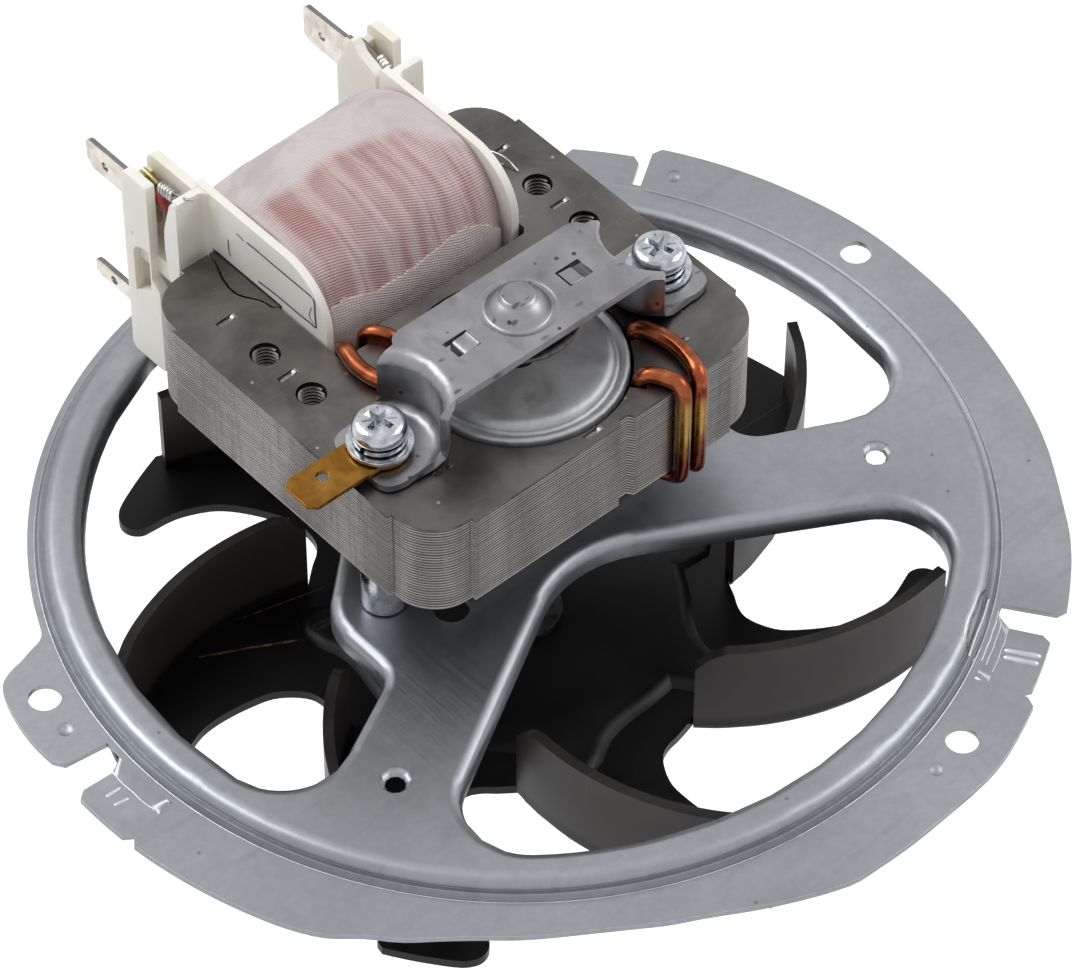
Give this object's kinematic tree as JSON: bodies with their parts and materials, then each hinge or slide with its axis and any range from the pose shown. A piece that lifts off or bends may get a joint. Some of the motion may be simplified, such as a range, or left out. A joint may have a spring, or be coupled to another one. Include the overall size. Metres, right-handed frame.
{
  "type": "oven fan motor",
  "caption": "Shaded-pole fan motor with an open C-shaped stator and wound coil on a round pressed mounting plate, driving a curved-vane impeller below it.",
  "frame": {"origin": "on the rotor's axis, at the underside of the mounting plate's outer flange", "axes": "+Z along the rotor's axis from the impeller to the top bearing bracket, +X along the bearing bracket, +Y from the rotor to the coil"},
  "size_m": [0.1486, 0.1422, 0.0704],
  "materials": {
    "plate_steel": "satin pressed steel sheet, blue-grey",
    "black_enamel": "satin black enamel, worn",
    "lamination_steel": "stacked electrical steel sheets",
    "bracket_steel": "galvanised, specked",
    "bright_zinc": "bright zinc plate",
    "aged_brass": "tarnished brass",
    "bearing_bronze": "sintered bronze",
    "retainer_steel": "dark spring steel",
    "shading_copper": "bare copper, heat-tinted",
    "cast_aluminium": "matte die-cast",
    "shaft_steel": "ground steel",
    "ivory_moulding": "moulded heat-resistant plastic",
    "winding_copper": "enamelled copper wire",
    "woven_tape": "white woven tape, wire showing through",
    "tinned_brass": "tinned"
  },
  "bodies": {
    "stator": {"mounting_plate": "plate_steel", "stator_c_core": "lamination_steel", "coil_core_bar": "lamination_steel", "bearing_bracket_top": "bracket_steel", "bearing_bracket_bottom": "bracket_steel", "bearing_top": "bearing_bronze", "bearing_bottom": "bearing_bronze", "bearing_retainer_top": "retainer_steel", "bearing_retainer_bottom": "retainer_steel", "bracket_screw_left": "bright_zinc", "bracket_screw_right": "bright_zinc", "flat_washer_left": "bright_zinc", "flat_washer_right": "bright_zinc", "spring_washer_left": "bright_zinc", "spring_washer_right": "bright_zinc", "spacer_left": "bright_zinc", "spacer_right": "bright_zinc", "earth_tab": "aged_brass", "shading_coil_front_outer": "shading_copper", "shading_coil_front_inner": "shading_copper", "shading_coil_rear_outer": "shading_copper", "shading_coil_rear_inner": "shading_copper", "coil_bobbin": "ivory_moulding", "coil_winding": "winding_copper", "coil_tape": "woven_tape", "terminal_upper_right": "tinned_brass", "terminal_upper_left": "tinned_brass", "terminal_lower_left": "tinned_brass"},
    "rotor": {"rotor_shaft": "shaft_steel", "rotor_core": "lamination_steel", "rotor_end_ring_top": "cast_aluminium", "rotor_end_ring_bottom": "cast_aluminium", "fan": "black_enamel", "fan_washer_upper": "bright_zinc", "fan_collar": "shaft_steel", "fan_washer_lower": "bright_zinc", "fan_nut": "bright_zinc"}
  },
  "joints": [
    {"name": "rotor_spin", "type": "hinge", "parent": "stator", "child": "rotor", "pos_m": [0, 0, 0], "axis": [0, 0, 1], "continuous": true}
  ]
}
